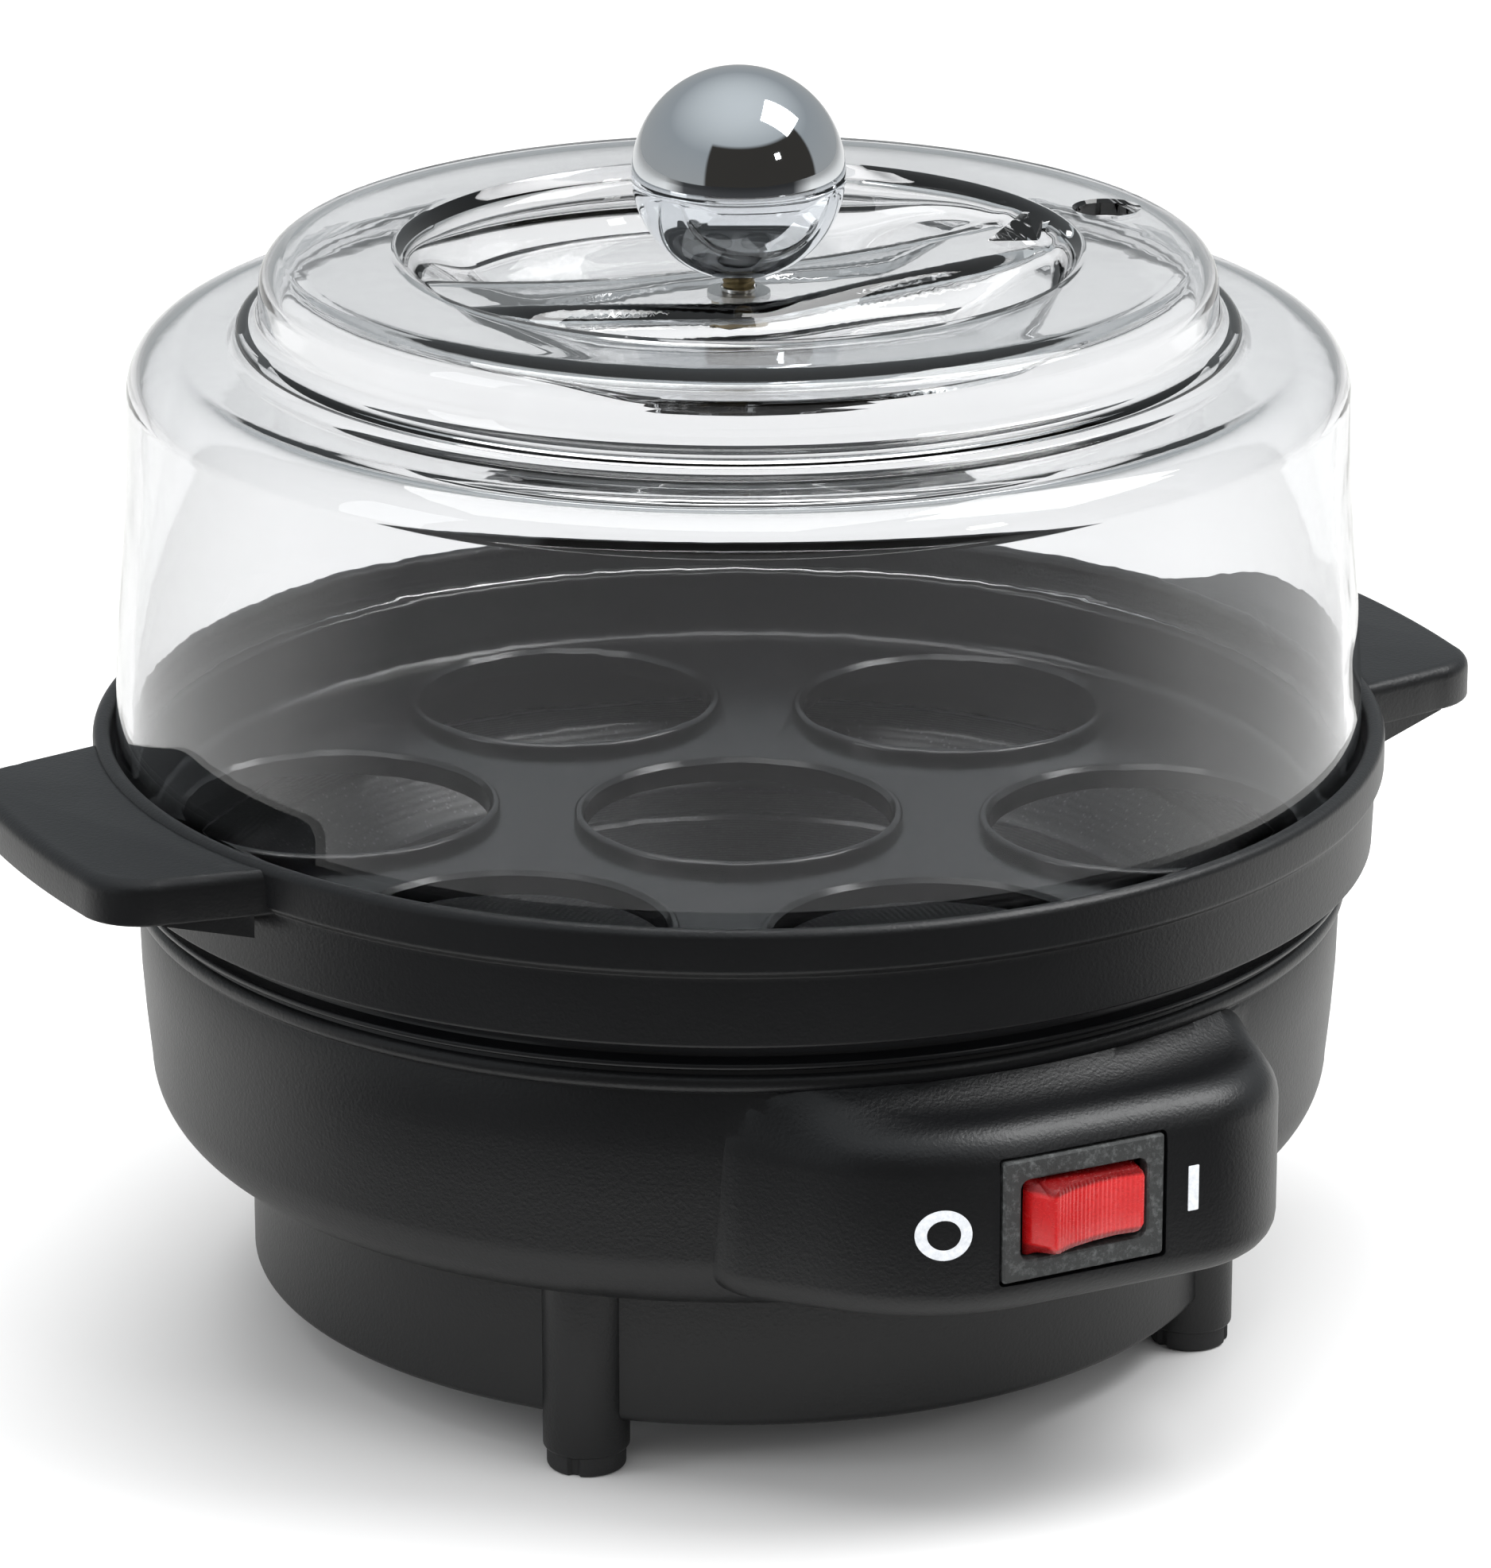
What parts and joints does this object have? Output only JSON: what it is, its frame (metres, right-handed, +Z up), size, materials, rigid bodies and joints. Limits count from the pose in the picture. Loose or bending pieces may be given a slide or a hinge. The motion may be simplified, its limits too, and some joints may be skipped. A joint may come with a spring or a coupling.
{
  "type": "egg cooker",
  "caption": "Round electric egg cooker: black base with heating plate and rocker switch, lift-out egg tray with side handles, clear stepped lid with ball knob.",
  "frame": {"origin": "on the body's upright axis, in the plane that the feet stand on", "axes": "+Z up along the axis of the bowl, tray and lid; -Y towards the switch; +X towards the right-hand handle"},
  "size_m": [0.19, 0.167, 0.1566],
  "materials": {
    "black_plastic": "satin moulded, fine grain",
    "tray_plastic": "satin moulded, glossier floor",
    "switch_plastic": "coarse matt",
    "clear_plastic": "clear, polished",
    "chrome": "mirror",
    "brass": "dull",
    "steel": "zinc plated",
    "element_steel": "oxidised sheath",
    "aluminised_steel": "dull",
    "aluminium": "cast",
    "coated_plate": "dark non-stick coating",
    "silicone": "matt",
    "foot_rubber": "matt",
    "thermostat_body": "matt",
    "fuse_body": "matt",
    "glass_sleeve": "woven glass sleeve",
    "white_print": "printed",
    "red_plastic": "translucent, finely ribbed",
    "lamp_glass": "clear",
    "white_plastic": "smooth",
    "lead_jacket": "matt"
  },
  "bodies": {
    "base": {"base_housing": "black_plastic", "bottom_cover": "black_plastic", "foot_tips": "foot_rubber", "cover_screws": "steel", "cord_gland": "black_plastic", "heating_plate": "coated_plate", "plate_seal": "silicone", "heat_spreader": "aluminium", "ring_element": "element_steel", "element_pins": "steel", "plate_studs": "steel", "stud_washers": "steel", "stud_nuts": "steel", "heat_shield": "aluminised_steel", "thermostat": "thermostat_body", "thermostat_blades": "brass", "thermostat_strap": "steel", "strap_screws": "steel", "thermal_fuse": "fuse_body", "fuse_sleeve": "glass_sleeve", "fuse_clip": "steel", "switch_frame": "switch_plastic", "switch_blades": "brass", "power_marks": "white_print", "lead_live": "lead_jacket", "lead_element": "lead_jacket", "lead_fuse": "lead_jacket"},
    "tray": {"egg_tray": "tray_plastic"},
    "lid": {"lid": "clear_plastic", "knob_ball": "chrome", "knob_screw": "brass", "knob_washer": "steel"},
    "rocker": {"rocker_button": "red_plastic", "rocker_lamp": "lamp_glass", "rocker_plunger": "white_plastic", "plunger_spring": "steel"},
    "contact": {"contact_lever": "brass"}
  },
  "joints": [
    {"name": "tray_lift", "type": "slide", "parent": "base", "child": "tray", "axis": [0, 0, 1], "range_m": [0, 0.08]},
    {"name": "lid_lift", "type": "slide", "parent": "tray", "child": "lid", "axis": [0, 0, 1], "range_m": [0, 0.1]},
    {"name": "rocker_swing", "type": "hinge", "parent": "base", "child": "rocker", "pos_m": [0.0015, -0.0795, 0.0405], "axis": [0, 0, -1], "range_deg": [0, 18.4]},
    {"name": "contact_tilt", "type": "hinge", "parent": "base", "child": "contact", "pos_m": [0.0015, -0.0685, 0.0405], "axis": [0, 0, -1], "range_deg": [-16, 0]}
  ],
  "couplings": [
    {"joint": "contact_tilt", "follows": "rocker_swing", "ratio": -0.86957}
  ]
}
